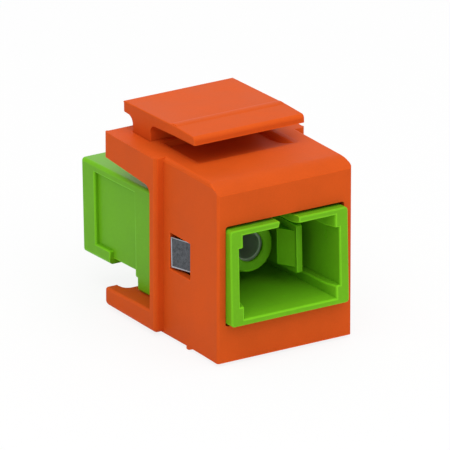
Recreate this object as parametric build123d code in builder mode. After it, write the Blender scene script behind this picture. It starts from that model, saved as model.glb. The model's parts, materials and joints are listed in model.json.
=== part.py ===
import os
from math import cos, radians, sin, tan

from build123d import *

os.makedirs("parts", exist_ok=True)

# Housing: the snap-in carrier, in millimetres
front_width = 14.5
shoulder_step = 0.9
housing_length = 18.3
housing_height = 17.2
front_drop = 0.83
front_curve_length = 2.1
shoulder_y = 9.45
shoulder_length = 0.95
side_wall = 0.8
floor_wall = 2.1
ceiling_z = 14.2
slab_rear_z = 14.7
slab_corner_radius = 0.8
prong_width = 1.2
prong_overhang = 1.6
prong_root_radius = 0.8
prong_top_radius = 0.25
prong_heel_radius = 0.5
lip_length = 1.5
hole_play_x = 0.05
hole_play_top = 0.3
hole_play_bottom = 0.15
window_length = 3.54
window_rear_play = 0.15
window_sill_play = 0.15
window_head_play = 0.24
nub_y = 4.4
nub_length = 1.1
nub_land = 0.35
nub_height = 0.3
rib_x = 3.5
rib_width = 1.0
ceiling_rib_length = 6.5
edge_radius = 0.25
top_edge_radius = 0.4
shoulder_radius = 0.35

# Trough in the top face, under the release latch
trough_width = 11.2
trough_depth = 0.65
trough_rim_radius = 1.2
trough_front_y = 6.3
trough_ramp_length = 3.9
trough_rear_y = 13.0

# Release latch: a plate on a stem, pressed down at its front end
plate_width = 11.9
plate_length = 12.4
plate_front_thickness = 0.95
plate_rear_thickness = 1.1
plate_front_radius = 0.4
plate_front_y = 6.1
plate_tilt = 1.65
plate_gap = 1.64
stem_y = 13.8
stem_length = 3.08
stem_fillet = 0.8
hinge_play = 0.03
ridge_y = 3.1
ridge_length = 1.3
ridge_height = 0.12
thumb_drop = 0.15
plate_radius = 0.12

# Adapter body: two mirrored shells around one axis, which leans down to the rear
adapter_length = 26.15
adapter_width = 12.7
adapter_height = 9.27
adapter_tilt = 2.0
axis_rise = 7.885
rim_proud = 0.9
rim_length = 2.2
rim_radius = 0.35
rim_edge_radius = 0.15
collar_length = 7.5
foot_length = 6.8
foot_drop = 1.15
side_recess = 0.4
side_recess_top = 0.9
side_recess_bottom = 1.3
bottom_recess = 0.5
bottom_recess_length = 4.6
fit_play = 0.05

# Port: the cavity that takes the plug
cavity_width = 9.2
cavity_height = 7.5
channel_width = 10.8
channel_height = 5.6
mouth_width = 10.0
mouth_height = 8.1
flare_depth = 1.3
key_width = 2.1
key_length = 7.0

# Sleeve holders: flange, barrel and the seats of the latch arms
flange_width = 10.7
flange_height = 8.2
flange_thickness = 1.5
flange_radius = 0.4
barrel_diameter = 4.9
barrel_mouth_depth = 6.85
barrel_chamfer = 0.15
lip_diameter = 2.85
lip_thickness = 0.3
lip_chamfer = 0.1
sleeve_play = 0.03

# Alignment sleeve: a split tube
sleeve_diameter = 3.2
sleeve_bore = 2.5
sleeve_length = 11.4
sleeve_slit = 0.5
sleeve_chamfer = 0.08

# Latch arms: four hooked blades that spread when a plug goes in
arm_x = 3.41
arm_thickness = 0.62
arm_height = 4.7
arm_tip_depth = 3.8
hook_crest_x = 2.2
hook_height = 3.5
hook_ramp_length = 1.9
hook_crest_length = 0.15
hook_back_length = 0.8
arm_edge = 0.15

# Spring clip: sheet bent round the bottom and both sides of the front shell
sheet = 0.3
bend_radius = 0.27
clip_end_play = 0.2
clip_top = 3.2
tab_rise = 0.3
tab_height = 3.0
tab_length = 3.9
tab_spread = 0.95
tab_slit = 0.15

# Frame: X to the right, Y to the rear, Z up, with the origin under the adapter's middle
half_length = adapter_length / 2
front_y = rim_proud - half_length
base_z = nub_height
axis_z = base_z + axis_rise
lean = radians(adapter_tilt)
plan_view = Plane(origin=(0, front_y, base_z))
side_view = Plane(origin=(0, front_y, base_z), x_dir=(0, 1, 0), z_dir=(1, 0, 0))
face_view = Plane(origin=(0, front_y, base_z), x_dir=(1, 0, 0), z_dir=(0, -1, 0))
middle = Plane(origin=(0, 0, axis_z), x_dir=(1, 0, 0), z_dir=(0, -cos(lean), sin(lean)))
arm_view = Plane(origin=(0, 0, axis_z), x_dir=(1, 0, 0), z_dir=(0, -sin(lean), -cos(lean)))

# Sizes that several pieces share
rear_width = front_width + 2 * shoulder_step
body_half = adapter_width / 2
half_height = adapter_height / 2
collar_reach = collar_length / 2
foot_reach = foot_length / 2
recess_reach = half_length - rim_length
stem_radius = stem_length / 2
hinge_y = stem_y + stem_radius
plate_seat_z = housing_height + plate_gap
arm_radius = arm_thickness / 2
arm_tip = half_length - arm_tip_depth
clip_x = body_half - side_recess
clip_bottom = half_height - bottom_recess
recess_top = half_height - side_recess_top
recess_bottom = half_height - side_recess_bottom
clip_rear = collar_reach + clip_end_play
tab_root = clip_rear + tab_length


# Envelope of the adapter with its play: what the housing keeps free
with BuildPart() as adapter_space:
    with BuildSketch(middle):
        Rectangle(adapter_width + 2 * fit_play, adapter_height + 2 * fit_play)
    extrude(amount=adapter_length, both=True)
    with BuildSketch(middle.offset(foot_reach + fit_play)):
        with Locations((0, -half_height)):
            Rectangle(adapter_width + 2 * fit_play, 2 * (foot_drop + fit_play))
    extrude(amount=-adapter_length)

# Trough: its floor runs out in a ramp to the front, between rims that are rounded over
with BuildPart() as trough:
    trough_z = housing_height - trough_depth
    trough_top = housing_height + trough_depth
    ramp_foot = (trough_front_y + trough_ramp_length, trough_z)
    with BuildSketch(side_view):
        with BuildLine():
            TangentArc(ramp_foot, (trough_front_y, housing_height), tangent=(-1, 0))
            Polyline((trough_front_y, housing_height), (trough_front_y, trough_top),
                     (trough_rear_y, trough_top), (trough_rear_y, trough_z), ramp_foot)
        make_face()
    extrude(amount=trough_width, both=True)
    with BuildSketch(face_view):
        with Locations((0, housing_height)):
            Rectangle(trough_width, 2 * trough_depth)
        for side in (-1, 1):
            with Locations((side * trough_width / 2, housing_height - trough_rim_radius)):
                Circle(trough_rim_radius, mode=Mode.SUBTRACT)
    extrude(amount=-housing_length, mode=Mode.INTERSECT)

# Housing
with BuildPart() as housing:
    with BuildSketch(plan_view):
        with Locations((0, shoulder_y / 2)):
            Rectangle(front_width, shoulder_y)
        with Locations((0, (shoulder_y + housing_length) / 2)):
            Rectangle(rear_width, housing_length - shoulder_y)
    extrude(amount=housing_height)
    corners = housing.edges().filter_by(Axis.Z).group_by(Axis.Y)
    fillet([corners[1].sort_by(Axis.X)[0], corners[1].sort_by(Axis.X)[-1]], shoulder_radius)
    corners = housing.edges().filter_by(Axis.Z).group_by(Axis.Y)
    fillet(corners[0] + corners[-1], edge_radius)

    # Curved top of the front face, and the rounded lower rear corner
    front_height = housing_height - front_drop
    with BuildSketch(side_view):
        with BuildLine():
            TangentArc((front_curve_length, housing_height), (0, front_height), tangent=(-1, 0))
            Polyline((0, front_height), (0, housing_height), (front_curve_length, housing_height))
        make_face()
    extrude(amount=rear_width, both=True, mode=Mode.SUBTRACT)
    lower_rear = housing.edges().filter_by(Axis.X).group_by(Axis.Z)[0].sort_by(Axis.Y)[-1]
    fillet(lower_rear, prong_heel_radius)

    # Rounded top edges of the front part's sides
    with BuildSketch(face_view):
        for side in (-1, 1):
            with Locations((side * front_width / 2, housing_height)):
                Rectangle(2 * top_edge_radius, 2 * top_edge_radius)
            with Locations((side * (front_width / 2 - top_edge_radius), housing_height - top_edge_radius)):
                Circle(top_edge_radius, mode=Mode.SUBTRACT)
    extrude(amount=-shoulder_y, mode=Mode.SUBTRACT)

    # Nub on the bottom face, steep towards the rear
    nub_rear = nub_y + nub_length
    with BuildSketch(side_view):
        Polygon((nub_y, 0), (nub_rear - nub_land, -nub_height), (nub_rear, -nub_height), (nub_rear, 0))
    extrude(amount=front_width / 2, both=True)

    # Open sides behind the shoulder, which leave a slab on top and a tongue below
    open_y = shoulder_y + shoulder_length
    past_rear = housing_length + prong_overhang
    reach = (past_rear - open_y) / (housing_length - open_y)
    tongue_drop = (past_rear - open_y) * tan(lean)
    with BuildSketch(side_view):
        Polygon(
            (open_y, floor_wall),
            (past_rear, floor_wall - tongue_drop),
            (past_rear, ceiling_z + (slab_rear_z - ceiling_z) * reach),
            (open_y, ceiling_z),
        )
        upper_corner = vertices().group_by(Axis.X)[0].sort_by(Axis.Y)[-1]
        fillet(upper_corner, slab_corner_radius)
    extrude(amount=rear_width, both=True, mode=Mode.SUBTRACT)

    # Hollow behind the front wall, and the front hole
    hollow_width = front_width - 2 * side_wall
    with BuildSketch(face_view.offset(-lip_length)):
        with Locations((0, (floor_wall + ceiling_z) / 2)):
            Rectangle(hollow_width, ceiling_z - floor_wall)
    extrude(amount=-(open_y - lip_length), mode=Mode.SUBTRACT)
    hole_z = axis_rise + (half_length - rim_proud) * sin(lean)
    with BuildSketch(face_view):
        hole_height = hole_play_bottom + adapter_height + hole_play_top
        with Locations((0, hole_z + (hole_play_top - hole_play_bottom) / 2)):
            RectangleRounded(adapter_width + 2 * hole_play_x, hole_height, edge_radius)
    extrude(amount=-lip_length, mode=Mode.SUBTRACT)

    # End of the tongue: a rounded notch between two prongs
    with BuildSketch(plan_view):
        with Locations((0, housing_length)):
            RectangleRounded(rear_width - 2 * prong_width, 2 * prong_overhang, prong_root_radius)
    extrude(amount=floor_wall, mode=Mode.SUBTRACT)
    prong_tops = housing.edges().filter_by(Axis.X).group_by(Axis.Y)[-1].group_by(Axis.Z)[1]
    fillet(prong_tops, prong_top_radius)

    # Ribs that carry the adapter and stop its foot
    floor_rib_length = half_length - rim_proud - foot_reach - fit_play - lip_length
    with BuildSketch(plan_view.offset(floor_wall)):
        for side in (-1, 1):
            with Locations((side * rib_x, lip_length + floor_rib_length / 2)):
                Rectangle(rib_width, floor_rib_length)
    extrude(amount=half_height)
    with BuildSketch(plan_view.offset(ceiling_z)):
        for side in (-1, 1):
            with Locations((side * rib_x, lip_length + ceiling_rib_length / 2)):
                Rectangle(rib_width, ceiling_rib_length)
    extrude(amount=-half_height)
    add(adapter_space.part, mode=Mode.SUBTRACT)

    # Windows for the clip's tabs
    with BuildSketch(side_view):
        window_rear = half_length - rim_proud - clip_rear + window_rear_play
        window_sill = axis_rise + clip_rear * sin(lean) + tab_rise - tab_height / 2 - window_sill_play
        window_head = axis_rise + tab_root * sin(lean) + tab_rise + tab_height / 2 + window_head_play
        with Locations((window_rear - window_length / 2, (window_sill + window_head) / 2)):
            Rectangle(window_length, window_head - window_sill)
    extrude(amount=front_width, both=True, mode=Mode.SUBTRACT)

    # Trough under the latch, and the groove that its root turns in
    add(trough.part, mode=Mode.SUBTRACT)
    with BuildSketch(side_view):
        with Locations((hinge_y, housing_height)):
            Circle(stem_radius + hinge_play)
    extrude(amount=plate_width / 2 + fit_play, both=True, mode=Mode.SUBTRACT)

housing.part.label = "housing"
export_step(housing.part, "parts/housing.step")

# Release latch: side outline of plate, stem and rounded root, carried across the width
plate_seat = Plane(
    origin=side_view.from_local_coords((hinge_y, plate_seat_z, 0)),
    x_dir=(0, cos(radians(plate_tilt)), -sin(radians(plate_tilt))),
    z_dir=(1, 0, 0),
)
plate_lead = hinge_y - plate_front_y
with BuildPart() as release_latch:
    with BuildSketch(side_view):
        with Locations((hinge_y, housing_height + plate_gap / 2 + plate_front_thickness / 4)):
            Rectangle(stem_length, plate_gap + plate_front_thickness / 2)
    extrude(amount=plate_width / 2, both=True)
    with BuildSketch(plate_seat):
        plate_sag = plate_rear_thickness - plate_front_thickness
        Polygon(
            (-plate_lead, 0),
            (plate_length - plate_lead, -plate_sag),
            (plate_length - plate_lead, plate_front_thickness),
            (ridge_y - plate_lead, plate_front_thickness),
            (-plate_lead, plate_front_thickness - thumb_drop),
        )
        front_top = vertices().group_by(Axis.X)[0].sort_by(Axis.Y)[-1]
        fillet(front_top, plate_front_radius)
    extrude(amount=plate_width / 2, both=True)
    stem_corner = release_latch.edges().filter_by(Axis.X)
    stem_corner = stem_corner.filter_by_position(Axis.Z, base_z + housing_height + plate_gap / 2,
                                                 base_z + plate_seat_z + plate_front_thickness / 2)
    stem_corner = stem_corner.filter_by_position(Axis.Y, front_y + stem_y - fit_play,
                                                 front_y + stem_y + stem_length + fit_play)
    fillet(stem_corner, stem_fillet)
    tops = release_latch.faces().filter_by(GeomType.PLANE).sort_by(Axis.Z)[-2:]
    outline = tops.edges().filter_by(Axis.X, reverse=True) + tops.edges().sort_by(Axis.Y)[-1:]
    fillet(outline, plate_radius)

    # Low ridge across the plate
    ridge_half = ridge_length / 2
    with BuildSketch(plate_seat):
        with BuildLine():
            ridge_start = (ridge_y - plate_lead, plate_front_thickness)
            ridge_end = (ridge_y + ridge_length - plate_lead, plate_front_thickness)
            ridge_top = (ridge_y + ridge_half - plate_lead, plate_front_thickness + ridge_height)
            ThreePointArc(ridge_start, ridge_top, ridge_end)
            Line(ridge_end, ridge_start)
        make_face()
    extrude(amount=plate_width / 2 - plate_radius, both=True)

    # Root of the stem, which turns in the housing's groove
    with BuildSketch(side_view):
        with Locations((hinge_y, housing_height)):
            Circle(stem_radius)
    extrude(amount=plate_width / 2, both=True)

release_latch.part.label = "release_latch"
export_step(release_latch.part, "parts/release_latch.step")

# Front shell of the adapter
with BuildPart() as front_shell:
    with BuildSketch(middle):
        RectangleRounded(adapter_width, adapter_height, rim_radius)
    extrude(amount=half_length)
    front_rim = front_shell.faces().sort_by(Axis.Y)[0].edges()
    fillet(front_rim, rim_edge_radius)
    with BuildSketch(middle):
        with Locations((0, -foot_drop / 2)):
            RectangleRounded(adapter_width, adapter_height + foot_drop, rim_radius)
    extrude(amount=foot_reach)

    # Seat of the spring clip in both sides and in the bottom
    with BuildSketch(middle.offset(collar_reach)):
        for side in (-1, 1):
            with Locations((side * (body_half - side_recess / 2), (recess_top - recess_bottom) / 2)):
                Rectangle(side_recess, recess_top + recess_bottom)
    extrude(amount=recess_reach - collar_reach, mode=Mode.SUBTRACT)
    with BuildSketch(middle.offset(collar_reach)):
        with Locations((0, bottom_recess / 2 - half_height)):
            Rectangle(adapter_width, bottom_recess)
        for side in (-1, 1):
            with Locations((side * (body_half - side_recess / 2), -half_height / 2)):
                Rectangle(side_recess, half_height)
    extrude(amount=bottom_recess_length, mode=Mode.SUBTRACT)

    # Cavity with its side channels, flared mouth and key slot
    with BuildSketch(middle.offset(flange_thickness)):
        Rectangle(cavity_width, cavity_height)
        Rectangle(channel_width, channel_height)
    extrude(amount=half_length - flange_thickness, mode=Mode.SUBTRACT)
    with BuildSketch(middle.offset(half_length - flare_depth)):
        Rectangle(cavity_width, cavity_height)
    with BuildSketch(middle.offset(half_length)):
        Rectangle(mouth_width, mouth_height)
    loft(mode=Mode.SUBTRACT)
    with BuildSketch(middle.offset(half_length)):
        with Locations((0, half_height)):
            Rectangle(key_width, half_height)
    extrude(amount=-key_length, mode=Mode.SUBTRACT)

    # Seat of the sleeve holder's flange
    with BuildSketch(middle):
        RectangleRounded(flange_width + 2 * fit_play, flange_height + 2 * fit_play, flange_radius)
    extrude(amount=flange_thickness, mode=Mode.SUBTRACT)

front_shell.part.label = "adapter_front_shell"
export_step(front_shell.part, "parts/adapter_front_shell.step")

with BuildPart() as rear_shell:
    mirror(front_shell.part, about=middle)
rear_shell.part.label = "adapter_rear_shell"
export_step(rear_shell.part, "parts/adapter_rear_shell.step")

# Front sleeve holder
barrel_reach = half_length - barrel_mouth_depth
with BuildPart() as front_holder:
    with BuildSketch(middle):
        RectangleRounded(flange_width, flange_height, flange_radius)
    extrude(amount=flange_thickness)
    with BuildSketch(middle.offset(flange_thickness)):
        Circle(barrel_diameter / 2)
    extrude(amount=barrel_reach - flange_thickness)
    barrel_end = front_holder.faces().sort_by(Axis.Y)[0].edges()
    chamfer(barrel_end, barrel_chamfer)
    with BuildSketch(middle):
        Circle(sleeve_diameter / 2 + sleeve_play)
    extrude(amount=barrel_reach - lip_thickness, mode=Mode.SUBTRACT)
    with BuildSketch(middle):
        Circle(lip_diameter / 2)
    extrude(amount=barrel_reach, mode=Mode.SUBTRACT)
    mouth_edge = front_holder.edges().filter_by(GeomType.CIRCLE).sort_by(Axis.Y)[0:2].sort_by(SortBy.RADIUS)[0]
    chamfer(mouth_edge, lip_chamfer)

    # Grooves that the latch arms turn in
    with BuildSketch(arm_view):
        for side in (-1, 1):
            with Locations((side * arm_x, flange_thickness)):
                Circle(arm_radius + hinge_play)
    extrude(amount=arm_height / 2 + fit_play, both=True, mode=Mode.SUBTRACT)

front_holder.part.label = "front_sleeve_holder"
export_step(front_holder.part, "parts/front_sleeve_holder.step")

with BuildPart() as rear_holder:
    mirror(front_holder.part, about=middle)
rear_holder.part.label = "rear_sleeve_holder"
export_step(rear_holder.part, "parts/rear_sleeve_holder.step")

# Alignment sleeve
with BuildPart() as alignment_sleeve:
    with BuildSketch(middle):
        Circle(sleeve_diameter / 2)
        Circle(sleeve_bore / 2, mode=Mode.SUBTRACT)
    extrude(amount=sleeve_length / 2, both=True)
    sleeve_ends = alignment_sleeve.edges().filter_by(GeomType.CIRCLE)
    chamfer(sleeve_ends, sleeve_chamfer)
    with BuildSketch(middle):
        with Locations((0, sleeve_diameter / 2)):
            Rectangle(sleeve_slit, sleeve_diameter)
    extrude(amount=sleeve_length, both=True, mode=Mode.SUBTRACT)

alignment_sleeve.part.label = "alignment_sleeve"
export_step(alignment_sleeve.part, "parts/alignment_sleeve.step")


def latch_arm(side, about=None):
    """One hooked blade of the front holder, or its mirror image about a plane."""
    inner_x = arm_x - arm_radius
    with BuildPart() as arm:
        with BuildSketch(arm_view):
            with Locations((side * arm_x, (flange_thickness + arm_tip) / 2)):
                Rectangle(arm_thickness, arm_tip - flange_thickness)
            with Locations((side * arm_x, flange_thickness)):
                Circle(arm_radius)
        extrude(amount=arm_height / 2, both=True)
        tip_edges = arm.edges().group_by(Axis.Y)[0].filter_by(Axis.X)
        chamfer(tip_edges, arm_edge)
        crest = arm_tip - hook_ramp_length
        with BuildSketch(arm_view):
            Polygon(
                (side * (inner_x + arm_edge), arm_tip),
                (side * hook_crest_x, crest),
                (side * hook_crest_x, crest - hook_crest_length),
                (side * inner_x, crest - hook_crest_length - hook_back_length),
                (side * (inner_x + arm_edge), crest - hook_crest_length - hook_back_length),
            )
        extrude(amount=hook_height / 2, both=True)
    if about is None:
        return arm
    with BuildPart() as mirrored:
        mirror(arm.part, about=about)
    return mirrored


for end, about in (("front", None), ("rear", middle)):
    for side_name, side in (("left", -1), ("right", 1)):
        name = f"{end}_latch_arm_{side_name}"
        arm = latch_arm(side, about)
        arm.part.label = name
        export_step(arm.part, f"parts/{name}.step")

# Spring clip
clip_length = recess_reach - collar_reach - 2 * clip_end_play
web_length = bottom_recess_length - 2 * clip_end_play
with BuildPart() as spring_clip:
    with BuildSketch(middle.offset(clip_rear)):
        for side in (-1, 1):
            with Locations((side * (clip_x + sheet / 2), (clip_top - clip_bottom) / 2)):
                Rectangle(sheet, clip_top + clip_bottom)
    extrude(amount=clip_length)
    with BuildSketch(middle.offset(clip_rear + web_length)):
        with Locations((0, -recess_bottom + clip_end_play - half_height / 2)):
            Rectangle(adapter_width, half_height)
    extrude(amount=clip_length, mode=Mode.SUBTRACT)
    with BuildSketch(middle.offset(clip_rear)):
        with Locations((0, -clip_bottom - sheet / 2)):
            Rectangle(2 * (clip_x + sheet), sheet)
    extrude(amount=web_length)
    bends = spring_clip.edges().filter_by(Axis(origin=(0, 0, 0), direction=middle.z_dir))
    bends = bends.filter_by(
        lambda edge: abs(middle.to_local_coords(edge.center()).Y + clip_bottom + sheet) < sheet / 10
    )
    fillet(bends, bend_radius)

    # Tabs that spring out into the windows, free at the rear
    with BuildSketch(middle.offset(clip_rear)):
        for side in (-1, 1):
            with Locations((side * (clip_x + sheet / 2), tab_rise)):
                Rectangle(2 * sheet, tab_height + 2 * tab_slit)
    extrude(amount=tab_length, mode=Mode.SUBTRACT)
    with BuildSketch(arm_view.offset(-tab_rise)):
        for side in (-1, 1):
            Polygon(
                (side * clip_x, tab_root),
                (side * (clip_x + sheet), tab_root),
                (side * (clip_x + sheet + tab_spread), clip_rear),
                (side * (clip_x + tab_spread), clip_rear),
            )
    extrude(amount=tab_height / 2, both=True)

spring_clip.part.label = "spring_clip"
export_step(spring_clip.part, "parts/spring_clip.step")
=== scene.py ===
"""Finishes a fibre optic adapter in its snap-in wall-plate carrier and sets up its stage."""
import json
import math

import bmesh
import bpy
from bpy.props import FloatProperty, FloatVectorProperty, IntProperty, PointerProperty
from mathutils import Matrix, Vector


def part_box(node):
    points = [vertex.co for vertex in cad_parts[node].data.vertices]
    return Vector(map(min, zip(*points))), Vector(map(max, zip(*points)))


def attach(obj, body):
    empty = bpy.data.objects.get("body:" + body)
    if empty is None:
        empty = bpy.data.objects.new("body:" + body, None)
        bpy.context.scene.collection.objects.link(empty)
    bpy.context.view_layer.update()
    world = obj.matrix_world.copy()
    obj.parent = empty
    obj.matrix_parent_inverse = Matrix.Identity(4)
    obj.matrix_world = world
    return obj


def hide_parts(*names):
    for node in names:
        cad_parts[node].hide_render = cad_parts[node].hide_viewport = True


bl_info = {
    "name": "Fibre optic adapter",
    "version": (1, 0, 0),
    "blender": (4, 5, 0),
    "location": "View3D > Sidebar > Adapter",
    "description": "Finishes a fibre optic adapter in its snap-in carrier and sets up its stage",
    "category": "Object",
}

MM = 0.001

# Cleaning and rounding of the meshes
MERGE_DISTANCE = 0.0005 * MM  # corners closer than this are one
FLAT_ANGLE = math.radians(0.6)  # faces that turn less than this are one flat face
SHARP_ANGLE = math.radians(28.0)  # edges that turn more than this are sharp
ROUNDING_STEPS = 2
ROOM_ALONG = 1.5  # shortest edge that is rounded, in widths of the rounding
ROOM_ACROSS = 1.6  # shortest edge that may cross its ends, in widths of the rounding
IN_LINE = 0.9  # cosine above which two edges run on in line

# Marks for the painted highlight on edges, which on the clip also covers its sheared faces and its burred
# edge strips
FULL_MARK = 1.0
MOULDED_MARK = 0.5
MOULDED_TURN = 0.05  # least turn, in radians, beside a face of a moulded rounding
SHEARED_TURN = math.radians(60.0)  # least turn beside a sheared face
SHEET_MARGIN = 1.1  # broadest sheared face, in thicknesses of the sheet
STRIP_AREA = 5.0 * MM * MM  # smallest face of a sheet that gets a strip of painted highlight with a smoother burnish
STRIP_FACING = 0.9 * MM  # least distance from the middle plane of a side that looks outwards
STRIP_REACH = 1.2 * MM  # least distance of a marked strip behind or below the middle of its side

# Lamps: name, direction from the adapter, distance, size, light on the adapter in units of pi
LAMPS = (
    ("Overhead lamp", (-0.12, -0.38, 0.92), 0.4, 0.5, 0.84),
    ("Back lamp", (0.5, 0.8, 0.4), 0.5, 0.4, 0.09),
)

# Floor and camera
FLOOR_REACH = 3.0  # from the middle of the floor to its edges
FLOOR_WHITE = 0.86  # share of plain white in what the camera sees of the floor
CAMERA_TARGET = Vector((2.31864267, 1.90154707, 7.49452052)) * MM
CAMERA_ANGLES = (-31.9736, 20.7596, 0.0414)  # azimuth, elevation and roll in degrees

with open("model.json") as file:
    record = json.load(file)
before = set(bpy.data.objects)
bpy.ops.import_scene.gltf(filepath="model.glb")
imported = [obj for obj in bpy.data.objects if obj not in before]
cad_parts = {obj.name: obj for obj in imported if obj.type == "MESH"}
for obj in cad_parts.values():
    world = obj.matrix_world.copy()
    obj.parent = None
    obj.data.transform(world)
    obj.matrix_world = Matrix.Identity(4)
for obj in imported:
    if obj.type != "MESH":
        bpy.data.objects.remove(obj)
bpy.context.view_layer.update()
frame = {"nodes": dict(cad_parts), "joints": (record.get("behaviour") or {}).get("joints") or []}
joints = {joint["name"]: joint for joint in frame["joints"]}

# The adapter leans in its carrier, and its arms' hinge lines stand square to it
adapter_up = Vector(joints["front_arm_right_spread"]["axis"])
adapter_lean = math.asin(adapter_up.y)
adapter_forward = Vector((0.0, -math.cos(adapter_lean), math.sin(adapter_lean)))
sleeve_low, sleeve_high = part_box("alignment_sleeve")
sleeve_middle = (sleeve_low + sleeve_high) / 2


def length(name, default, low, high, about):
    """A length in metres whose default and limits are given in millimetres."""
    return FloatProperty(name=name, description=about, default=default * MM, min=low * MM, max=high * MM,
                         unit="LENGTH", precision=5)


def tint(name, default, about):
    """A colour."""
    return FloatVectorProperty(name=name, description=about, default=default, min=0.0, max=1.0,
                               subtype="COLOR", size=3)


def share(name, default, about):
    """A value from 0 to 1."""
    return FloatProperty(name=name, description=about, default=default, min=0.0, max=1.0, subtype="FACTOR")


class CarrierSettings(bpy.types.PropertyGroup):
    """Orange carrier and its release latch"""
    colour: tint("Plastic", (0.655, 0.09, 0.0105), "Colour of the carrier's plastic")
    roughness: share("Roughness", 0.5, "How dull the carrier's plastic is")
    tone: share("Tone", 0.05, "How much the colour wanders over the moulding")
    edge_round: length("Edge round", 0.1, 0.0, 0.3, "Width of the rounding on the carrier's sharp edges")


class AdapterSettings(bpy.types.PropertyGroup):
    """Green shells, sleeve holders and latch arms"""
    colour: tint("Plastic", (0.152, 0.452, 0.011), "Colour of the adapter's plastic")
    roughness: share("Roughness", 0.33, "How dull the adapter's plastic is")
    tone: share("Tone", 0.05, "How much the colour wanders over the moulding")
    edge_round: length("Edge round", 0.15, 0.0, 0.3, "Width of the rounding on the adapter's sharp edges")


class ArmSettings(bpy.types.PropertyGroup):
    """Hooked latch arms inside both ports"""
    length: length("Length", 7.775, 4.0, 9.0, "Length of an arm from its hinge line to its tip")
    thickness: length("Thickness", 0.62, 0.4, 0.8, "Thickness of an arm's blade")
    height: length("Height", 4.7, 2.0, 5.0, "Height of an arm's blade")
    hook_height: length("Hook height", 3.5, 1.5, 4.5, "Height of an arm's hook")
    hook_reach: length("Hook reach", 0.9, 0.2, 1.0, "How far the hook stands in from the blade")
    hook_ramp: length("Hook ramp", 1.9, 0.3, 2.5, "Length of the slope that a plug pushes on")
    hook_crest: length("Hook crest", 0.15, 0.05, 0.5, "Length of the hook's flat crest")
    hook_back: length("Hook back", 0.8, 0.2, 2.0, "Length of the slope behind the crest")
    tip_edge: length("Tip edge", 0.15, 0.05, 0.3, "Cut at the top and bottom of the blade's tip")
    edge_round: length("Edge round", 0.06, 0.0, 0.2, "Width of the rounding on the arms' sharp edges")


class SleeveSettings(bpy.types.PropertyGroup):
    """Split ceramic alignment sleeve"""
    colour: tint("Ceramic", (0.32, 0.40, 0.30), "Colour of the ceramic")
    roughness: share("Roughness", 0.3, "How dull the ground ceramic is")
    length: length("Length", 11.4, 6.0, 11.4, "Length of the sleeve")
    diameter: length("Diameter", 3.2, 2.6, 3.6, "Outer diameter of the sleeve")
    bore: length("Bore", 2.5, 1.2, 3.0, "Inner diameter of the sleeve")
    slit: length("Slit", 0.5, 0.1, 1.0, "Width of the slit along the sleeve")
    chamfer: length("Chamfer", 0.08, 0.0, 0.15, "Rounding at the sleeve's ends")
    steps: IntProperty(name="Steps", description="Steps round the sleeve", default=96, min=24, max=180)


class ClipSettings(bpy.types.PropertyGroup):
    """Stamped spring clip"""
    colour: tint("Steel", (0.088, 0.095, 0.105), "Colour of the clip's steel")
    roughness: share("Roughness", 0.42, "How dull the rolled sheet is")
    edge_round: length("Edge round", 0.09, 0.0, 0.12, "Width of the rounding on the clip's sheared edges")
    # The sheared faces get a painted highlight besides their smoother burnish
    sheet: length("Sheet", 0.3, 0.1, 0.5, "Thickness of the sheet, whose sheared faces stay bright")


class StageSettings(bpy.types.PropertyGroup):
    """Floor, lamps and camera"""
    floor: tint("Floor", (0.92, 0.92, 0.92), "Colour of the floor")
    daylight: FloatProperty(name="Daylight", description="Strength of the light from all round", default=0.56,
                            min=0.0, max=2.0)
    lens: FloatProperty(name="Lens", description="Focal length of the camera", default=800.0, min=20.0,
                        max=1500.0, unit="CAMERA")
    distance: FloatProperty(name="Distance", description="From the camera to the adapter", default=0.926876,
                            min=0.05, max=5.0, unit="LENGTH", precision=5)


# Node building

def place_nodes(tree, table):
    """Adds nodes from (key, type, settings, input values) rows and returns them by key."""
    nodes = {}
    for key, kind, settings, values in table:
        node = tree.nodes.new(kind)
        for name, value in settings.items():
            setattr(node, name, value)
        for name, value in values.items():
            node.inputs[name].default_value = value
        nodes[key] = node
    return nodes


def maths(operation, first=None, second=None):
    """The type, settings and unlinked inputs of one arithmetic node, as place_nodes reads them."""
    fixed = {index: value for index, value in enumerate((first, second)) if value is not None}
    return "ShaderNodeMath", {"operation": operation}, fixed


def join_nodes(tree, nodes, rows):
    """Links (from key, output, to key, input) rows."""
    for source, output, target, entry in rows:
        tree.links.new(nodes[source].outputs[output], nodes[target].inputs[entry])


def new_group(name, kind, inputs, outputs):
    """A node tree with (title, socket type, default) inputs and (title, socket type) outputs."""
    tree = bpy.data.node_groups.new(name, kind)
    for title, socket, default in inputs:
        entry = tree.interface.new_socket(title, in_out="INPUT", socket_type=socket)
        if default is not None:
            entry.default_value = default
    for title, socket in outputs:
        tree.interface.new_socket(title, in_out="OUTPUT", socket_type=socket)
    return tree


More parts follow.
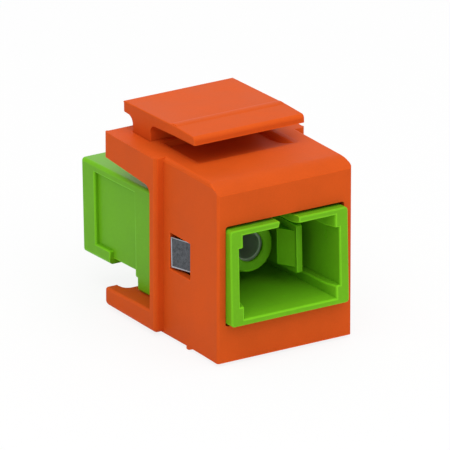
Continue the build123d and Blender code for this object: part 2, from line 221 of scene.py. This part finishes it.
def grain_group():
    """Colour, roughness and height of a moulded or rolled surface, with a painted highlight on the edges
    marked in its mesh.
    """
    group = bpy.data.node_groups.get("Surface grain")
    if group:
        return group
    group = new_group(
        "Surface grain", "ShaderNodeTree",
        [("Colour", "NodeSocketColor", (0.5, 0.5, 0.5, 1.0)), ("Tone", "NodeSocketFloat", 0.05),
         ("Tone scale", "NodeSocketFloat", 200.0), ("Grain scale", "NodeSocketFloat", 8000.0),
         ("Stretch", "NodeSocketVector", (1.0, 1.0, 1.0)), ("Roughness", "NodeSocketFloat", 0.5),
         ("Roughness spread", "NodeSocketFloat", 0.06), ("Edge light", "NodeSocketFloat", 0.2),
         ("Edge dull", "NodeSocketFloat", 0.0)],
        [("Colour", "NodeSocketColor"), ("Roughness", "NodeSocketFloat"), ("Height", "NodeSocketFloat")],
    )
    nodes = place_nodes(group, [
        ("in", "NodeGroupInput", {}, {}),
        ("place", "ShaderNodeTexCoord", {}, {}),
        ("stretch", "ShaderNodeVectorMath", {"operation": "MULTIPLY"}, {}),
        ("clouds", "ShaderNodeTexNoise", {"noise_dimensions": "3D"}, {"Detail": 3.0, "Roughness": 0.6}),
        ("grain", "ShaderNodeTexNoise", {"noise_dimensions": "3D"}, {"Detail": 2.0, "Roughness": 0.55}),
        ("wander", "ShaderNodeMapRange", {},
         {"From Min": 0.3, "From Max": 0.7, "To Min": -1.0, "To Max": 1.0}),
        ("speckle", "ShaderNodeMapRange", {},
         {"From Min": 0.3, "From Max": 0.7, "To Min": -0.5, "To Max": 0.5}),
        ("both", *maths("ADD")),
        ("amount", *maths("MULTIPLY")),
        # Painted edge highlight: the colour is raised on the faces marked in the band, on top of its random
        # tone
        ("band", "ShaderNodeAttribute", {"attribute_name": "edge_band"}, {}),
        ("lift", *maths("MULTIPLY_ADD")),
        ("gain", *maths("ADD", second=1.0)),
        ("colour", "ShaderNodeVectorMath", {"operation": "SCALE"}, {}),
        ("spread", *maths("MULTIPLY_ADD")),
        ("dull", "ShaderNodeMath", {"operation": "MULTIPLY_ADD", "use_clamp": True}, {}),
        ("out", "NodeGroupOutput", {}, {}),
    ])
    join_nodes(group, nodes, [
        ("place", "Object", "stretch", 0), ("in", "Stretch", "stretch", 1),
        ("stretch", 0, "clouds", "Vector"), ("stretch", 0, "grain", "Vector"),
        ("in", "Tone scale", "clouds", "Scale"), ("in", "Grain scale", "grain", "Scale"),
        ("clouds", 0, "wander", "Value"), ("grain", 0, "speckle", "Value"),
        ("wander", 0, "both", 0), ("speckle", 0, "both", 1),
        ("both", 0, "amount", 0), ("in", "Tone", "amount", 1),
        ("band", "Fac", "lift", 0), ("in", "Edge light", "lift", 1), ("amount", 0, "lift", 2),
        ("lift", 0, "gain", 0), ("in", "Colour", "colour", 0), ("gain", 0, "colour", "Scale"),
        ("wander", 0, "spread", 0), ("in", "Roughness spread", "spread", 1), ("in", "Roughness", "spread", 2),
        ("band", "Fac", "dull", 0), ("in", "Edge dull", "dull", 1), ("spread", 0, "dull", 2),
        ("colour", 0, "out", "Colour"), ("dull", 0, "out", "Roughness"), ("grain", 0, "out", "Height"),
    ])
    return group


def surface(name, colour, roughness, grain, shader, bump):
    """A material whose Principled shader takes its colour, roughness and relief from the grain group."""
    if name in bpy.data.materials:
        return bpy.data.materials[name]
    made = bpy.data.materials.new(name)
    made.use_nodes = True
    made.diffuse_color = (*colour, 1.0)
    tree = made.node_tree
    principled = tree.nodes["Principled BSDF"]
    for entry, value in shader.items():
        principled.inputs[entry].default_value = value
    group = tree.nodes.new("ShaderNodeGroup")
    group.node_tree = grain_group()
    group.inputs["Colour"].default_value = (*colour, 1.0)
    group.inputs["Roughness"].default_value = roughness
    for entry, value in grain.items():
        group.inputs[entry].default_value = value
    relief = tree.nodes.new("ShaderNodeBump")
    relief.inputs["Strength"].default_value = 1.0
    relief.inputs["Distance"].default_value = bump
    tree.links.new(group.outputs["Colour"], principled.inputs["Base Color"])
    tree.links.new(group.outputs["Roughness"], principled.inputs["Roughness"])
    tree.links.new(group.outputs["Height"], relief.inputs["Height"])
    tree.links.new(relief.outputs["Normal"], principled.inputs["Normal"])
    return made


def carrier_plastic():
    """Moulded orange plastic with a fine, dull skin."""
    look = bpy.context.scene.carrier_settings
    return surface("Carrier plastic", look.colour, look.roughness,
                   # the carrier's edges get a faint painted highlight
                   {"Tone": look.tone, "Tone scale": 180.0, "Grain scale": 7000.0, "Edge light": 0.14},
                   {"Specular IOR Level": 0.04}, 0.0012 * MM)


def adapter_plastic():
    """Moulded green plastic, a little glossier and with a painted highlight on its edges."""
    look = bpy.context.scene.adapter_settings
    return surface("Adapter plastic", look.colour, look.roughness,
                   {"Tone": look.tone, "Tone scale": 160.0, "Grain scale": 4000.0, "Edge light": 0.34},
                   {"Specular IOR Level": 0.07}, 0.0008 * MM)


def sleeve_ceramic():
    """Ground ceramic, with its marks drawn out along the sleeve."""
    look = bpy.context.scene.sleeve_settings
    return surface("Sleeve ceramic", look.colour, look.roughness,
                   {"Tone": 0.04, "Tone scale": 400.0, "Grain scale": 9000.0, "Stretch": (1.0, 0.12, 1.0)},
                   {"Specular IOR Level": 0.6}, 0.0004 * MM)


def clip_steel():
    """Mottled sheet steel whose sheared faces and burred edge strips are smoother and carry a strong painted
    highlight.
    """
    look = bpy.context.scene.clip_settings
    return surface("Clip steel", look.colour, look.roughness,
                   {"Tone": 0.4, "Tone scale": 3600.0, "Grain scale": 9000.0, "Stretch": (1.0, 1.0, 0.8),
                    "Roughness spread": 0.12, "Edge light": 3.2, "Edge dull": -0.1},
                   {"Metallic": 1.0}, 0.002 * MM)


# Geometry Nodes trees

def latch_arm_tree():
    """A hooked blade that turns about Z at the origin, with its tip along Y and its hook along X."""
    tree = bpy.data.node_groups.get("Latch arm")
    if tree:
        return tree
    tree = new_group(
        "Latch arm", "GeometryNodeTree",
        [(title, "NodeSocketFloat", None) for title in (
            "Length", "Thickness", "Height", "Hook height", "Hook reach", "Hook ramp", "Hook crest",
            "Hook back", "Tip edge")] + [("Material", "NodeSocketMaterial", None)],
        [("Geometry", "NodeSocketGeometry")],
    )
    nodes = place_nodes(tree, [
        ("in", "NodeGroupInput", {}, {}),
        ("place", "GeometryNodeInputPosition", {}, {}),
        ("axes", "ShaderNodeSeparateXYZ", {}, {}),
        ("half_thickness", *maths("MULTIPLY", second=0.5)),
        ("half_height", *maths("MULTIPLY", second=0.5)),
        # Blade: a block with its front corners cut back above and below
        ("blade_size", "ShaderNodeCombineXYZ", {}, {}),
        ("blade", "GeometryNodeMeshCube", {}, {"Vertices X": 2, "Vertices Y": 2, "Vertices Z": 4}),
        ("high", *maths("ABSOLUTE")),
        ("quarter_height", *maths("MULTIPLY", second=0.25)),
        ("outer_row", *maths("GREATER_THAN")),
        ("front_row", *maths("GREATER_THAN", second=0.0)),
        ("corner", *maths("MULTIPLY")),
        ("cut_y", *maths("MULTIPLY")),
        ("back_y", *maths("MULTIPLY", second=-1.0)),
        ("side", *maths("SIGN")),
        ("inner_z", *maths("SUBTRACT")),
        ("row_z", *maths("MULTIPLY")),
        ("lift_z", *maths("SUBTRACT")),
        ("inner_row", *maths("SUBTRACT", first=1.0)),
        ("move_z", *maths("MULTIPLY")),
        ("blade_shift", "ShaderNodeCombineXYZ", {}, {}),
        ("shaped_blade", "GeometryNodeSetPosition", {}, {}),
        ("half_length", *maths("MULTIPLY", second=0.5)),
        ("blade_place", "ShaderNodeCombineXYZ", {}, {}),
        ("placed_blade", "GeometryNodeTransform", {}, {}),
        # Round root that the arm turns on
        ("root", "GeometryNodeMeshCylinder", {}, {"Vertices": 32}),
        # Hook: a block whose inner side has a slope, a crest and a slope behind it
        ("hook_width", *maths("ADD")),
        ("slopes", *maths("ADD")),
        ("hook_length", *maths("ADD")),
        ("hook_size", "ShaderNodeCombineXYZ", {}, {}),
        ("hook", "GeometryNodeMeshCube", {}, {"Vertices X": 2, "Vertices Y": 3, "Vertices Z": 2}),
        ("inner_side", *maths("GREATER_THAN", second=0.0)),
        ("hook_quarter", *maths("MULTIPLY", second=0.25)),
        ("hook_front", *maths("GREATER_THAN")),
        ("minus_hook_quarter", *maths("MULTIPLY", second=-1.0)),
        ("hook_rear", *maths("LESS_THAN")),
        ("front_back", *maths("MULTIPLY")),
        ("hook_half", *maths("MULTIPLY", second=0.5)),
        ("past_crest", *maths("ADD")),
        ("middle_back", *maths("SUBTRACT")),
        ("not_front", *maths("SUBTRACT", first=1.0)),
        ("middle_row", *maths("SUBTRACT")),
        ("middle_move", *maths("MULTIPLY")),
        ("both_moves", *maths("ADD")),
        ("side_move", *maths("MULTIPLY")),
        ("hook_y", *maths("MULTIPLY", second=-1.0)),
        ("rear_in", *maths("MULTIPLY")),
        ("rear_side", *maths("MULTIPLY")),
        ("hook_x", *maths("MULTIPLY", second=-1.0)),
        ("hook_shift", "ShaderNodeCombineXYZ", {}, {}),
        ("shaped_hook", "GeometryNodeSetPosition", {}, {}),
        ("hook_middle", *maths("SUBTRACT")),
        ("width_half", *maths("MULTIPLY", second=0.5)),
        ("inner_face", *maths("ADD")),
        ("hook_centre", *maths("SUBTRACT")),
        ("hook_place", "ShaderNodeCombineXYZ", {}, {}),
        ("placed_hook", "GeometryNodeTransform", {}, {}),
        ("whole", "GeometryNodeMeshBoolean", {"operation": "UNION", "solver": "EXACT"}, {}),
        ("real", "GeometryNodeRealizeInstances", {}, {}),
        ("paint", "GeometryNodeSetMaterial", {}, {}),
        ("out", "NodeGroupOutput", {}, {}),
    ])
    join_nodes(tree, nodes, [
        ("place", 0, "axes", 0), ("in", "Thickness", "half_thickness", 0), ("in", "Height", "half_height", 0),
        # Blade
        ("in", "Thickness", "blade_size", 0), ("in", "Length", "blade_size", 1),
        ("in", "Height", "blade_size", 2), ("blade_size", 0, "blade", "Size"),
        ("axes", "Z", "high", 0), ("in", "Height", "quarter_height", 0),
        ("high", 0, "outer_row", 0), ("quarter_height", 0, "outer_row", 1), ("axes", "Y", "front_row", 0),
        ("outer_row", 0, "corner", 0), ("front_row", 0, "corner", 1),
        ("corner", 0, "cut_y", 0), ("in", "Tip edge", "cut_y", 1), ("cut_y", 0, "back_y", 0),
        ("axes", "Z", "side", 0), ("half_height", 0, "inner_z", 0), ("in", "Tip edge", "inner_z", 1),
        ("side", 0, "row_z", 0), ("inner_z", 0, "row_z", 1),
        ("row_z", 0, "lift_z", 0), ("axes", "Z", "lift_z", 1),
        ("outer_row", 0, "inner_row", 1), ("lift_z", 0, "move_z", 0), ("inner_row", 0, "move_z", 1),
        ("back_y", 0, "blade_shift", 1), ("move_z", 0, "blade_shift", 2),
        ("blade", "Mesh", "shaped_blade", "Geometry"), ("blade_shift", 0, "shaped_blade", "Offset"),
        ("in", "Length", "half_length", 0), ("half_length", 0, "blade_place", 1),
        ("shaped_blade", 0, "placed_blade", "Geometry"), ("blade_place", 0, "placed_blade", "Translation"),
        # Root
        ("half_thickness", 0, "root", "Radius"), ("in", "Height", "root", "Depth"),
        # Hook
        ("in", "Hook reach", "hook_width", 0), ("in", "Tip edge", "hook_width", 1),
        ("in", "Hook ramp", "slopes", 0), ("in", "Hook back", "slopes", 1),
        ("slopes", 0, "hook_length", 0), ("in", "Hook crest", "hook_length", 1),
        ("hook_width", 0, "hook_size", 0), ("hook_length", 0, "hook_size", 1),
        ("in", "Hook height", "hook_size", 2), ("hook_size", 0, "hook", "Size"),
        ("axes", "X", "inner_side", 0), ("hook_length", 0, "hook_quarter", 0),
        ("axes", "Y", "hook_front", 0), ("hook_quarter", 0, "hook_front", 1),
        ("hook_quarter", 0, "minus_hook_quarter", 0),
        ("axes", "Y", "hook_rear", 0), ("minus_hook_quarter", 0, "hook_rear", 1),
        ("hook_front", 0, "front_back", 0), ("in", "Hook ramp", "front_back", 1),
        ("hook_length", 0, "hook_half", 0), ("in", "Hook ramp", "past_crest", 0),
        ("in", "Hook crest", "past_crest", 1), ("past_crest", 0, "middle_back", 0),
        ("hook_half", 0, "middle_back", 1), ("hook_front", 0, "not_front", 1),
        ("not_front", 0, "middle_row", 0), ("hook_rear", 0, "middle_row", 1),
        ("middle_row", 0, "middle_move", 0), ("middle_back", 0, "middle_move", 1),
        ("front_back", 0, "both_moves", 0), ("middle_move", 0, "both_moves", 1),
        ("both_moves", 0, "side_move", 0), ("inner_side", 0, "side_move", 1), ("side_move", 0, "hook_y", 0),
        ("hook_rear", 0, "rear_in", 0), ("in", "Hook reach", "rear_in", 1),
        ("rear_in", 0, "rear_side", 0), ("inner_side", 0, "rear_side", 1), ("rear_side", 0, "hook_x", 0),
        ("hook_x", 0, "hook_shift", 0), ("hook_y", 0, "hook_shift", 1),
        ("hook", "Mesh", "shaped_hook", "Geometry"), ("hook_shift", 0, "shaped_hook", "Offset"),
        ("in", "Length", "hook_middle", 0), ("hook_half", 0, "hook_middle", 1),
        ("hook_width", 0, "width_half", 0), ("half_thickness", 0, "inner_face", 0),
        ("in", "Hook reach", "inner_face", 1), ("inner_face", 0, "hook_centre", 0),
        ("width_half", 0, "hook_centre", 1), ("hook_centre", 0, "hook_place", 0),
        ("hook_middle", 0, "hook_place", 1),
        ("shaped_hook", 0, "placed_hook", "Geometry"), ("hook_place", 0, "placed_hook", "Translation"),
        # Whole arm
        ("placed_blade", 0, "whole", "Mesh 2"), ("root", "Mesh", "whole", "Mesh 2"),
        ("placed_hook", 0, "whole", "Mesh 2"),
        ("whole", "Mesh", "real", 0), ("real", 0, "paint", "Geometry"),
        ("in", "Material", "paint", "Material"), ("paint", 0, "out", 0),
    ])
    return tree


def split_sleeve_tree():
    """A split ring: a rounded wall section swept round Z, open at the slit on the X side."""
    tree = bpy.data.node_groups.get("Split sleeve")
    if tree:
        return tree
    tree = new_group(
        "Split sleeve", "GeometryNodeTree",
        [(title, "NodeSocketFloat", None) for title in ("Length", "Diameter", "Bore", "Slit", "Chamfer")]
        + [("Steps", "NodeSocketInt", None), ("Material", "NodeSocketMaterial", None)],
        [("Geometry", "NodeSocketGeometry")],
    )
    nodes = place_nodes(tree, [
        ("in", "NodeGroupInput", {}, {}),
        ("sum", *maths("ADD")),
        ("radius", *maths("MULTIPLY", second=0.25)),
        ("difference", *maths("SUBTRACT")),
        ("wall", *maths("MULTIPLY", second=0.5)),
        ("slit_angle", *maths("DIVIDE")),
        ("start", *maths("MULTIPLY", second=0.5)),
        ("sweep", *maths("SUBTRACT", first=2.0 * math.pi)),
        ("ring", "GeometryNodeCurveArc", {"mode": "RADIUS"}, {}),
        ("section", "GeometryNodeCurvePrimitiveQuadrilateral", {"mode": "RECTANGLE"}, {}),
        ("rounded", "GeometryNodeFilletCurve", {"mode": "POLY"}, {"Count": 3}),
        ("tube", "GeometryNodeCurveToMesh", {}, {"Fill Caps": True}),
        ("real", "GeometryNodeRealizeInstances", {}, {}),
        ("paint", "GeometryNodeSetMaterial", {}, {}),
        ("out", "NodeGroupOutput", {}, {}),
    ])
    join_nodes(tree, nodes, [
        ("in", "Diameter", "sum", 0), ("in", "Bore", "sum", 1), ("sum", 0, "radius", 0),
        ("in", "Diameter", "difference", 0), ("in", "Bore", "difference", 1), ("difference", 0, "wall", 0),
        ("in", "Slit", "slit_angle", 0), ("radius", 0, "slit_angle", 1), ("slit_angle", 0, "start", 0),
        ("slit_angle", 0, "sweep", 1), ("in", "Steps", "ring", "Resolution"), ("radius", 0, "ring", "Radius"),
        ("start", 0, "ring", "Start Angle"), ("sweep", 0, "ring", "Sweep Angle"),
        ("wall", 0, "section", "Width"), ("in", "Length", "section", "Height"),
        ("section", "Curve", "rounded", "Curve"), ("in", "Chamfer", "rounded", "Radius"),
        ("ring", "Curve", "tube", "Curve"), ("rounded", "Curve", "tube", "Profile Curve"),
        ("tube", "Mesh", "real", 0), ("real", 0, "paint", "Geometry"),
        ("in", "Material", "paint", "Material"), ("paint", 0, "out", 0),
    ])
    return tree


def grown_mesh(name, tree, values, place):
    """The plain mesh that a Geometry Nodes tree makes with these input values, set at its place."""
    maker = bpy.data.objects.new(name, bpy.data.meshes.new(name))
    bpy.context.scene.collection.objects.link(maker)
    nodes = maker.modifiers.new(tree.name, "NODES")
    nodes.node_group = tree
    for entry in tree.interface.items_tree:
        if entry.in_out == "INPUT":
            nodes[entry.identifier] = values[entry.name]
    bpy.context.view_layer.update()
    mesh = bpy.data.meshes.new_from_object(maker.evaluated_get(bpy.context.evaluated_depsgraph_get()))
    maker.modifiers.clear()
    bpy.data.objects.remove(maker)
    if not mesh.polygons:
        raise RuntimeError(f"{name} came out empty")
    mesh.transform(place)
    return mesh


def set_square(origin, x_axis, y_axis):
    """The place whose X and Y point along two given directions, which are at right angles."""
    return Matrix.Translation(origin) @ Matrix((x_axis, y_axis, x_axis.cross(y_axis))).transposed().to_4x4()


# Mesh building

def has_room(edge, width):
    """Whether an edge is long enough to be rounded, with no short edge that crosses its ends."""
    along = edge.verts[1].co - edge.verts[0].co
    if along.length < ROOM_ALONG * width:
        return False
    for vert in edge.verts:
        for other in vert.link_edges:
            way = other.verts[1].co - other.verts[0].co
            in_line = abs(way.normalized().dot(along.normalized())) >= IN_LINE
            if other is not edge and way.length < ROOM_ACROSS * width and not in_line:
                return False
    return True


def mark_narrow_faces(bm, band, width, sheet):
    """Marks a sheet's sheared faces and the faces of moulded roundings for the painted edge highlight, half
    as strong on the roundings.
    """
    for face in bm.faces:
        longest = max(face.edges, key=lambda edge: edge.calc_length())
        if not longest.is_manifold:
            continue
        breadth = 2.0 * face.calc_area() / face.calc_perimeter()
        turn = longest.calc_face_angle()
        if breadth < SHEET_MARGIN * sheet and turn > SHEARED_TURN:
            face[band] = FULL_MARK
        elif breadth < width and longest.is_convex and MOULDED_TURN < turn < SHARP_ANGLE:
            face[band] = MOULDED_MARK


def mark_highlight_strips(bm, band, width):
    """Marks strips along the rear and lower edges of a sheet's outer sides, which get a painted highlight and
    the smoother finish of a stamping burr.

    The inset gives the same faces each time, but lists them in an order that varies from run to run.
    """
    sides = [face for face in bm.faces if face.calc_area() > STRIP_AREA
             and face.normal.x * face.calc_center_median().x > STRIP_FACING]
    for face in sides:
        centre = face.calc_center_median()
        for strip in bmesh.ops.inset_individual(bm, faces=[face], thickness=width)["faces"]:
            away = strip.calc_center_median() - centre
            if away.y > STRIP_REACH or away.z < -STRIP_REACH:
                strip[band] = FULL_MARK


def round_edges(mesh, width, sheet=0.0):
    """Merges a mesh, rounds its sharp outer edges that have room for it, and marks the faces that get the
    painted edge highlight.
    """
    bm = bmesh.new()
    bm.from_mesh(mesh)
    bmesh.ops.remove_doubles(bm, verts=bm.verts, dist=MERGE_DISTANCE)
    bmesh.ops.dissolve_limit(bm, angle_limit=FLAT_ANGLE, verts=bm.verts, edges=bm.edges)
    sharp = [edge for edge in bm.edges if edge.is_manifold and edge.is_convex
             and edge.calc_face_angle() >= SHARP_ANGLE and has_room(edge, width)]
    band = bm.faces.layers.float.new("edge_band")
    mark_narrow_faces(bm, band, width, sheet)
    if sharp and width > 0.0:
        made = bmesh.ops.bevel(bm, geom=sharp, offset=width, offset_type="OFFSET", segments=ROUNDING_STEPS,
                               profile=0.5, affect="EDGES", clamp_overlap=False)
        # The new rounded faces get the full painted highlight
        for face in made["faces"]:
            face[band] = FULL_MARK
    if sheet > 0.0:
        mark_highlight_strips(bm, band, 0.5 * sheet)
    for face in bm.faces:
        face.smooth = True
    for edge in bm.edges:
        edge.smooth = not edge.is_manifold or edge.calc_face_angle() < SHARP_ANGLE
    bm.to_mesh(mesh)
    bm.free()


def apply_modifiers(piece):
    """Turns the evaluated piece into its plain mesh."""
    bpy.context.view_layer.update()
    done = bpy.data.meshes.new_from_object(piece.evaluated_get(bpy.context.evaluated_depsgraph_get()))
    piece.modifiers.clear()
    done.name = piece.name
    piece.data = done


def node_copy(node):
    """A copy of a CAD node's mesh, which itself is never changed."""
    return frame["nodes"][node].data.copy()


def finish_piece(mesh, name, material, node, body, width, sheet=0.0):
    """Makes the finished piece that stands for one CAD node and rides on its body."""
    round_edges(mesh, width, sheet)
    mesh.materials.clear()
    mesh.materials.append(material)
    piece = bpy.data.objects.new(name, mesh)
    bpy.context.scene.collection.objects.link(piece)
    weigh = piece.modifiers.new("Even shading", "WEIGHTED_NORMAL")
    weigh.keep_sharp = True
    apply_modifiers(piece)
    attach(piece, body)
    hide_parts(node)
    return piece


# Operators for the pieces

class ADAPTER_OT_carrier(bpy.types.Operator):
    """Finish the carrier and the release latch on top of it"""
    bl_idname = "adapter.carrier"
    bl_label = "Carrier and latch"

    def execute(self, context):
        look = context.scene.carrier_settings
        for node, name, body in (("housing", "Carrier", "carrier"),
                                 ("release_latch", "Release_latch", "latch")):
            finish_piece(node_copy(node), name, carrier_plastic(), node, body, look.edge_round)
        return {"FINISHED"}


class ADAPTER_OT_shells(bpy.types.Operator):
    """Finish the adapter's two shells and the sleeve holders inside them"""
    bl_idname = "adapter.shells"
    bl_label = "Shells and sleeve holders"

    def execute(self, context):
        look = context.scene.adapter_settings
        for node, name in (("adapter_front_shell", "Front_shell"), ("adapter_rear_shell", "Rear_shell"),
                           ("front_sleeve_holder", "Front_sleeve_holder"),
                           ("rear_sleeve_holder", "Rear_sleeve_holder")):
            finish_piece(node_copy(node), name, adapter_plastic(), node, "carrier", look.edge_round)
        return {"FINISHED"}


class ADAPTER_OT_arms(bpy.types.Operator):
    """Finish the four hooked latch arms"""
    bl_idname = "adapter.arms"
    bl_label = "Latch arms"

    def execute(self, context):
        look = context.scene.arm_settings
        values = {"Length": look.length, "Thickness": look.thickness, "Height": look.height,
                  "Hook height": look.hook_height, "Hook reach": look.hook_reach, "Hook ramp": look.hook_ramp,
                  "Hook crest": look.hook_crest, "Hook back": look.hook_back, "Tip edge": look.tip_edge,
                  "Material": adapter_plastic()}
        for end, tip in (("front", adapter_forward), ("rear", -adapter_forward)):
            for side, inward in (("left", Vector((1.0, 0.0, 0.0))), ("right", Vector((-1.0, 0.0, 0.0)))):
                node = f"{end}_latch_arm_{side}"
                hinge = Vector(joints[f"{end}_arm_{side}_spread"]["pos_m"])
                mesh = grown_mesh(node, latch_arm_tree(), values, set_square(hinge, inward, tip))
                finish_piece(mesh, f"{end.title()}_latch_arm_{side}", adapter_plastic(), node,
                             f"{end}_arm_{side}", look.edge_round)
        return {"FINISHED"}


class ADAPTER_OT_sleeve(bpy.types.Operator):
    """Finish the split alignment sleeve"""
    bl_idname = "adapter.sleeve"
    bl_label = "Alignment sleeve"

    def execute(self, context):
        look = context.scene.sleeve_settings
        values = {"Length": look.length, "Diameter": look.diameter, "Bore": look.bore, "Slit": look.slit,
                  "Chamfer": look.chamfer, "Steps": look.steps, "Material": sleeve_ceramic()}
        mesh = grown_mesh("Alignment_sleeve", split_sleeve_tree(), values,
                          set_square(sleeve_middle, adapter_up, Vector((-1.0, 0.0, 0.0))))
        finish_piece(mesh, "Alignment_sleeve", sleeve_ceramic(), "alignment_sleeve", "carrier", 0.0)
        return {"FINISHED"}


class ADAPTER_OT_clip(bpy.types.Operator):
    """Finish the stamped spring clip"""
    bl_idname = "adapter.clip"
    bl_label = "Spring clip"

    def execute(self, context):
        look = context.scene.clip_settings
        finish_piece(node_copy("spring_clip"), "Spring_clip", clip_steel(), "spring_clip", "carrier",
                     look.edge_round, look.sheet)
        return {"FINISHED"}


# Stage

def seen_directly(tree):
    """A value that is 1 for what the camera sees, directly, in a reflection or through glass."""
    nodes = place_nodes(tree, [
        ("path", "ShaderNodeLightPath", {}, {}),
        ("mirrored", *maths("MAXIMUM")),
        ("any", *maths("MAXIMUM")),
    ])
    join_nodes(tree, nodes, [
        ("path", "Is Camera Ray", "mirrored", 0), ("path", "Is Glossy Ray", "mirrored", 1),
        ("mirrored", 0, "any", 0), ("path", "Is Transmission Ray", "any", 1),
    ])
    return nodes["any"].outputs[0]


def floor_paint(colour):
    """Dull paint that the camera sees as nearly white, with the adapter's shadow on it."""
    paint = bpy.data.materials.new("Floor paint")
    paint.use_nodes = True
    tree = paint.node_tree
    principled = tree.nodes["Principled BSDF"]
    principled.inputs["Base Color"].default_value = (*colour, 1.0)
    principled.inputs["Roughness"].default_value = 1.0
    principled.inputs["Specular IOR Level"].default_value = 0.0
    nodes = place_nodes(tree, [
        ("white", "ShaderNodeEmission", {}, {"Color": (1.0, 1.0, 1.0, 1.0), "Strength": 1.0}),
        ("part", *maths("MULTIPLY", second=FLOOR_WHITE)),
        ("mix", "ShaderNodeMixShader", {}, {}),
    ])
    nodes["dull"] = principled
    nodes["out"] = tree.nodes["Material Output"]
    tree.links.new(seen_directly(tree), nodes["part"].inputs[0])
    join_nodes(tree, nodes, [
        ("part", 0, "mix", 0), ("dull", 0, "mix", 1), ("white", 0, "mix", 2), ("mix", 0, "out", "Surface"),
    ])
    return paint


def make_floor(colour):
    """The floor that the adapter stands on."""
    mesh = bpy.data.meshes.new("Floor")
    bm = bmesh.new()
    bmesh.ops.create_grid(bm, x_segments=8, y_segments=8, size=FLOOR_REACH)
    bm.to_mesh(mesh)
    bm.free()
    mesh.materials.append(floor_paint(colour))
    floor = bpy.data.objects.new("Floor", mesh)
    bpy.context.scene.collection.objects.link(floor)


def make_daylight(strength):
    """Even light from all round, in front of a white background."""
    world = bpy.data.worlds.new("Daylight")
    bpy.context.scene.world = world
    world.use_nodes = True
    tree = world.node_tree
    nodes = place_nodes(tree, [
        ("strength", "ShaderNodeMapRange", {}, {"To Min": strength, "To Max": 1.0}),
    ])
    background = tree.nodes["Background"]
    background.inputs["Color"].default_value = (1.0, 1.0, 1.0, 1.0)
    tree.links.new(seen_directly(tree), nodes["strength"].inputs["Value"])
    tree.links.new(nodes["strength"].outputs[0], background.inputs["Strength"])


def area_lamp(name, towards, distance, size, irradiance):
    """A square lamp in the given direction that gives that irradiance, in units of pi, at the target."""
    data = bpy.data.lights.new(name, "AREA")
    data.shape = "SQUARE"
    data.size = size
    data.energy = irradiance * math.pi * math.pi * distance * distance
    lamp = bpy.data.objects.new(name, data)
    away = Vector(towards).normalized()
    lamp.location = CAMERA_TARGET + away * distance
    lamp.rotation_euler = away.to_track_quat("Z", "Y").to_euler()
    bpy.context.scene.collection.objects.link(lamp)


def make_camera(lens, distance):
    """The camera at the viewing angle of the scene, far away behind a long lens."""
    data = bpy.data.cameras.new("Camera")
    data.sensor_width = 36.0
    data.lens = lens
    data.clip_start = 0.05
    data.clip_end = 20.0
    camera = bpy.data.objects.new("Camera", data)
    azimuth, elevation, roll = (math.radians(angle) for angle in CAMERA_ANGLES)
    back = Vector((math.sin(azimuth) * math.cos(elevation), -math.cos(azimuth) * math.cos(elevation),
                   math.sin(elevation)))
    level = Vector((math.cos(azimuth), math.sin(azimuth), 0.0))
    upright = back.cross(level)
    right = level * math.cos(roll) + upright * math.sin(roll)
    up = upright * math.cos(roll) - level * math.sin(roll)
    camera.matrix_world = (Matrix.Translation(CAMERA_TARGET + back * distance)
                           @ Matrix((right, up, back)).transposed().to_4x4())
    bpy.context.scene.collection.objects.link(camera)
    bpy.context.scene.camera = camera


class ADAPTER_OT_stage(bpy.types.Operator):
    """Set up the pale floor, the soft lamps and the camera"""
    bl_idname = "adapter.stage"
    bl_label = "Stage"

    def execute(self, context):
        look = context.scene.stage_settings
        make_floor(look.floor)
        make_daylight(look.daylight)
        for lamp in LAMPS:
            area_lamp(*lamp)
        make_camera(look.lens, look.distance)
        context.scene.view_settings.view_transform = "Standard"
        return {"FINISHED"}


# Panel and registration

class ADAPTER_PT_panel(bpy.types.Panel):
    """Lists the adapter's pieces and their sizes and colours"""
    bl_idname = "ADAPTER_PT_panel"
    bl_label = "Fibre optic adapter"
    bl_space_type = "VIEW_3D"
    bl_region_type = "UI"
    bl_category = "Adapter"

    def draw(self, context):
        layout = self.layout
        for group, operator in PIECES:
            box = layout.box()
            box.operator(operator)
            settings = getattr(context.scene, group)
            for name in settings.__annotations__:
                box.prop(settings, name)


PIECES = (
    ("carrier_settings", "adapter.carrier"), ("adapter_settings", "adapter.shells"),
    ("arm_settings", "adapter.arms"), ("sleeve_settings", "adapter.sleeve"),
    ("clip_settings", "adapter.clip"), ("stage_settings", "adapter.stage"),
)
SETTINGS = {
    "carrier_settings": CarrierSettings, "adapter_settings": AdapterSettings, "arm_settings": ArmSettings,
    "sleeve_settings": SleeveSettings, "clip_settings": ClipSettings, "stage_settings": StageSettings,
}
CLASSES = [*SETTINGS.values(), ADAPTER_OT_carrier, ADAPTER_OT_shells, ADAPTER_OT_arms, ADAPTER_OT_sleeve,
           ADAPTER_OT_clip, ADAPTER_OT_stage, ADAPTER_PT_panel]


def register():
    """Adds the settings, operators and panel to Blender."""
    for entry in CLASSES:
        bpy.utils.register_class(entry)
    for name, group in SETTINGS.items():
        setattr(bpy.types.Scene, name, PointerProperty(type=group))


def unregister():
    """Takes them out again."""
    for name in SETTINGS:
        delattr(bpy.types.Scene, name)
    for entry in reversed(CLASSES):
        bpy.utils.unregister_class(entry)


def main():
    """Makes the whole scene."""
    register()
    bpy.ops.adapter.carrier()
    bpy.ops.adapter.shells()
    bpy.ops.adapter.arms()
    bpy.ops.adapter.sleeve()
    bpy.ops.adapter.clip()
    bpy.ops.adapter.stage()


if __name__ == "__main__":
    main()
